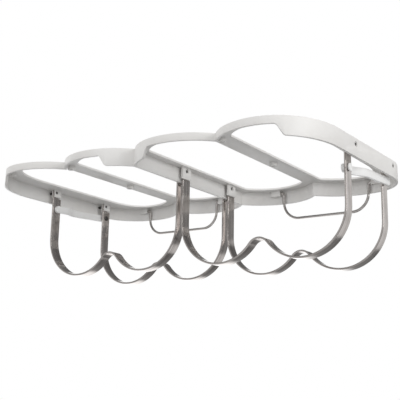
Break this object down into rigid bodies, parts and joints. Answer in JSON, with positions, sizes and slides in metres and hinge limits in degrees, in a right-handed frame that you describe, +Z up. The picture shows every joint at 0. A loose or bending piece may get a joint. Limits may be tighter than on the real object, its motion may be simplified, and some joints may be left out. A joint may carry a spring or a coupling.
{
  "type": "under-shelf wine rack",
  "caption": "Under-shelf wine rack: a scalloped white plastic frame with folding W-shaped steel cradle bands, plastic struts and wire bottle stops.",
  "frame": {"origin": "on the top face that lies against the board, in the middle of the bar between the two cradles", "axes": "+X along the row of bottles, +Y from the neck end to the base end of the bottles, +Z up towards the board"},
  "size_m": [0.386, 0.236, 0.1043],
  "materials": {
    "frame_white": "satin moulded white",
    "strut_white": "smooth moulded white",
    "band_steel": "polished strip",
    "wire_steel": "bright drawn wire",
    "pin_steel": "plain"
  },
  "bodies": {
    "frame_body": {"frame": "frame_white", "pivot_pin_near_middle_left": "pin_steel", "pivot_pin_near_middle_right": "pin_steel", "pivot_pin_near_rail_left": "pin_steel", "pivot_pin_near_rail_right": "pin_steel", "pivot_pin_far_middle_left": "pin_steel", "pivot_pin_far_middle_right": "pin_steel", "pivot_pin_far_rail_left": "pin_steel", "pivot_pin_far_rail_right": "pin_steel"},
    "near_band_body_left": {"near_band_left": "band_steel"},
    "far_band_body_left": {"far_band_left": "band_steel", "far_link_pin_left": "pin_steel"},
    "strut_body_left": {"strut_left": "strut_white", "near_link_pin_left": "strut_white"},
    "bail_body_left": {"bail_left": "wire_steel"},
    "near_band_body_right": {"near_band_right": "band_steel"},
    "far_band_body_right": {"far_band_right": "band_steel", "far_link_pin_right": "pin_steel"},
    "strut_body_right": {"strut_right": "strut_white", "near_link_pin_right": "strut_white"},
    "bail_body_right": {"bail_right": "wire_steel"}
  },
  "joints": [
    {"name": "near_fold_left", "type": "hinge", "parent": "frame_body", "child": "near_band_body_left", "pos_m": [-0.09245, -0.0206, -0.0056], "axis": [-1, 0, 0], "range_deg": [0, 40]},
    {"name": "far_fold_left", "type": "hinge", "parent": "frame_body", "child": "far_band_body_left", "pos_m": [-0.09245, 0.0647, -0.0056], "axis": [-1, 0, 0], "range_deg": [0, 55.2]},
    {"name": "strut_swing_left", "type": "hinge", "parent": "near_band_body_left", "child": "strut_body_left", "pos_m": [-0.1815, -0.0179, -0.025], "axis": [1, 0, 0], "range_deg": [0, 40.9]},
    {"name": "bail_fold_left", "type": "hinge", "parent": "frame_body", "child": "bail_body_left", "pos_m": [-0.0963, 0.1132, -0.0052], "axis": [-1, 0, 0], "range_deg": [0, 85]},
    {"name": "near_fold_right", "type": "hinge", "parent": "frame_body", "child": "near_band_body_right", "pos_m": [0.09245, -0.0206, -0.0056], "axis": [-1, 0, 0], "range_deg": [0, 40]},
    {"name": "far_fold_right", "type": "hinge", "parent": "frame_body", "child": "far_band_body_right", "pos_m": [0.09245, 0.0647, -0.0056], "axis": [-1, 0, 0], "range_deg": [0, 55.2]},
    {"name": "strut_swing_right", "type": "hinge", "parent": "near_band_body_right", "child": "strut_body_right", "pos_m": [0.1815, -0.0179, -0.025], "axis": [1, 0, 0], "range_deg": [0, 40.9]},
    {"name": "bail_fold_right", "type": "hinge", "parent": "frame_body", "child": "bail_body_right", "pos_m": [0.0963, 0.1132, -0.0052], "axis": [-1, 0, 0], "range_deg": [0, 85]}
  ],
  "couplings": [
    {"joint": "far_fold_left", "follows": "near_fold_left", "ratio": 1.38},
    {"joint": "strut_swing_left", "follows": "near_fold_left", "ratio": 1.02},
    {"joint": "far_fold_right", "follows": "near_fold_right", "ratio": 1.38},
    {"joint": "strut_swing_right", "follows": "near_fold_right", "ratio": 1.02}
  ]
}
